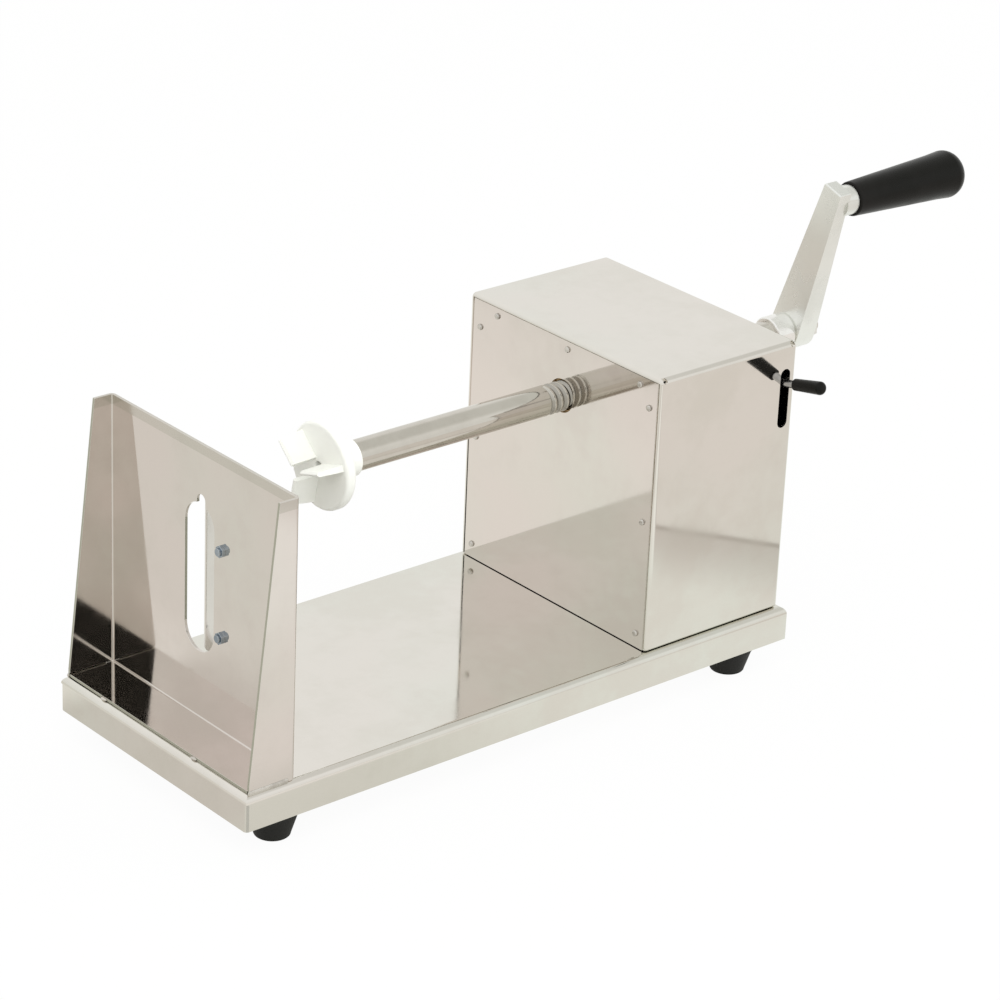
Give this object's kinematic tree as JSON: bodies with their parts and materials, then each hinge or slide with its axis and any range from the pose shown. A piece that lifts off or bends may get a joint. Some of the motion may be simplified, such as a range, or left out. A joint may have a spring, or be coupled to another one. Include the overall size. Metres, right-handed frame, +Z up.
{
  "type": "tornado potato cutter",
  "caption": "Hand-cranked spiral potato cutter: slotted blade stand, screw-fed shaft with prong holder, sheet gearbox, release lever and crank on a footed base.",
  "frame": {"origin": "on the table under the middle of the base, midway between the feet", "axes": "+X along the tool from the blade stand towards the crank, +Y to the side away from the release lever, +Z up"},
  "size_m": [0.4998, 0.1755, 0.2357],
  "materials": {
    "stainless_sheet": "polished stainless sheet with a faint grain",
    "blade_steel": "ground blade steel with a brighter bevel",
    "zinc_steel": "bluish zinc plating",
    "screw_steel": "stainless screw heads, slightly dull",
    "plain_steel": "plain steel, machined or cut",
    "spring_steel": "drawn spring wire and pressed clips",
    "shaft_steel": "polished and plated round bar",
    "cast_aluminium": "satin cast aluminium",
    "bronze": "turned bronze with oil film",
    "black_rubber": "moulded black rubber",
    "black_plastic": "smooth black moulding with a soft sheen",
    "white_plastic": "white food-grade moulding"
  },
  "bodies": {
    "frame": {"base_pan": "stainless_sheet", "blade_stand": "stainless_sheet", "gearbox_cover": "stainless_sheet", "gearbox_front_panel": "stainless_sheet", "gearbox_rear_panel": "stainless_sheet", "slicing_blade": "blade_steel", "blade_spacers": "zinc_steel", "blade_screws": "zinc_steel", "blade_nuts": "zinc_steel", "foot_front_right": "black_rubber", "foot_front_left": "black_rubber", "foot_rear_right": "black_rubber", "foot_rear_left": "black_rubber", "foot_screws": "zinc_steel", "foot_nuts": "zinc_steel", "front_panel_screws": "screw_steel", "rear_panel_screws": "screw_steel", "cover_screws": "zinc_steel", "cover_nuts": "zinc_steel", "bracket_screws": "zinc_steel", "bracket_nuts": "zinc_steel", "inner_bracket": "plain_steel", "front_bearing_housing": "cast_aluminium", "rear_bearing_housing": "cast_aluminium", "bearing_clips": "spring_steel", "front_bearing_screws": "zinc_steel", "rear_bearing_screws": "zinc_steel", "rear_bearing_nuts": "zinc_steel", "lever_pivot_pin": "plain_steel", "pivot_clip": "spring_steel", "spring_anchor": "plain_steel", "return_spring": "spring_steel"},
    "bearing_sleeves": {"front_bearing_sleeve": "bronze", "rear_bearing_sleeve": "bronze"},
    "shaft_and_crank": {"drive_shaft": "shaft_steel", "potato_holder": "white_plastic", "holder_screw": "zinc_steel", "crank_hub": "shaft_steel", "hub_screw": "zinc_steel", "crank_arm": "cast_aluminium", "arm_cap_nut": "zinc_steel", "grip_spindle": "plain_steel"},
    "grip": {"crank_grip": "black_plastic"},
    "lever": {"release_lever": "plain_steel", "lever_knob": "black_plastic", "half_nut": "bronze", "half_nut_screws": "zinc_steel", "spring_hook": "plain_steel"}
  },
  "joints": [
    {"name": "crank_turn", "type": "hinge", "parent": "frame", "child": "bearing_sleeves", "pos_m": [0.125, 0, 0.1465], "axis": [-1, 0, 0], "range_deg": [-7560, 3600]},
    {"name": "shaft_feed", "type": "slide", "parent": "bearing_sleeves", "child": "shaft_and_crank", "axis": [-1, 0, 0], "range_m": [-0.0841, 0.0401]},
    {"name": "grip_spin", "type": "hinge", "parent": "shaft_and_crank", "child": "grip", "pos_m": [0.26, -0.02448, 0.22319], "axis": [1, 0, 0], "continuous": true},
    {"name": "release_lever_press", "type": "hinge", "parent": "frame", "child": "lever", "pos_m": [0.16, 0.044, 0.1375], "axis": [1, 0, 0], "range_deg": [0, 9], "stiffness_Nm_per_rad": 1.5, "springref_deg": -8.59, "deforming": ["return_spring"]}
  ],
  "couplings": [
    {"joint": "shaft_feed", "follows": "crank_turn", "m_per_rad": 0.00063662}
  ]
}
